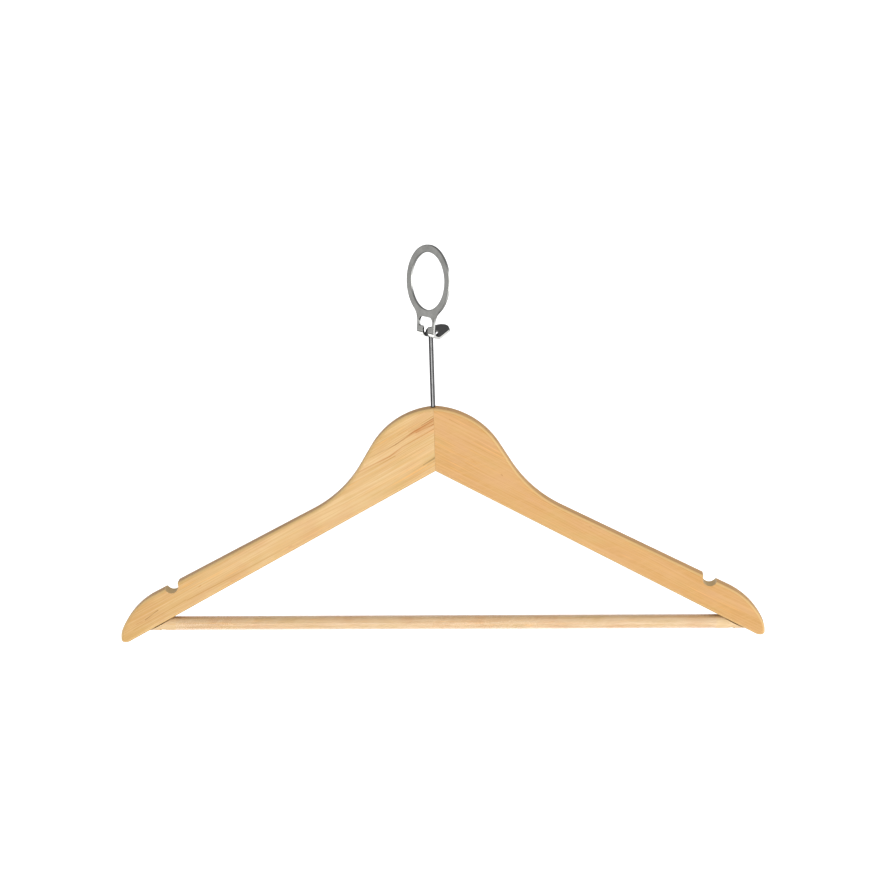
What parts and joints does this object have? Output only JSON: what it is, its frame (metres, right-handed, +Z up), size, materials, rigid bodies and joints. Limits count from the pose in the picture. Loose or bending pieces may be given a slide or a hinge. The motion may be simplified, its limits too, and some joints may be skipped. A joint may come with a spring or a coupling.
{
  "type": "clothes hanger",
  "caption": "Wooden clothes hanger with strap notches, a sleeved trouser bar and a straight pin whose ball swings and swivels in the bent foot of a closed steel ring",
  "frame": {"origin": "centre of the closed ring's hole, which the rail passes through", "axes": "+X along the wooden arms, -Y the front, +Z up, the pin hanging straight down; metres"},
  "size_m": [0.445, 0.0392, 0.2736],
  "materials": {
    "arm_wood_left": "satin clear lacquer over pale yellow hardwood",
    "arm_wood_right": "satin clear lacquer over pale yellow hardwood",
    "bar_wood": "turned hardwood, satin",
    "dowel_upper_wood": "unfinished turned hardwood",
    "dowel_lower_wood": "unfinished turned hardwood",
    "ring_steel": "dull nickel plate on stamped sheet",
    "pin_steel": "bright nickel plate",
    "brad_steel": "plain bright wire",
    "screw_left_steel": "zinc plate",
    "screw_right_steel": "zinc plate",
    "clear_vinyl": "clear glossy heat-shrunk tube"
  },
  "bodies": {
    "ring": {"security_ring": "ring_steel"},
    "pin": {"hanger_pin": "pin_steel"},
    "frame": {"left_arm": "arm_wood_left", "right_arm": "arm_wood_right", "mitre_dowel_upper": "dowel_upper_wood", "mitre_dowel_lower": "dowel_lower_wood", "pin_lock_brad": "brad_steel", "trouser_bar": "bar_wood", "bar_sleeve": "clear_vinyl", "bar_screw_left": "screw_left_steel", "bar_screw_right": "screw_right_steel"}
  },
  "joints": [
    {"name": "pin_swing", "type": "hinge", "parent": "ring", "child": "pin", "pos_m": [0.00057, 0.00045, -0.03472], "axis": [0.6198, -0.7848, 0], "range_deg": [-90, 65]},
    {"name": "pin_swivel", "type": "hinge", "parent": "pin", "child": "frame", "pos_m": [0.00057, 0.00045, -0.08622], "axis": [0, 0, 1], "continuous": true}
  ]
}
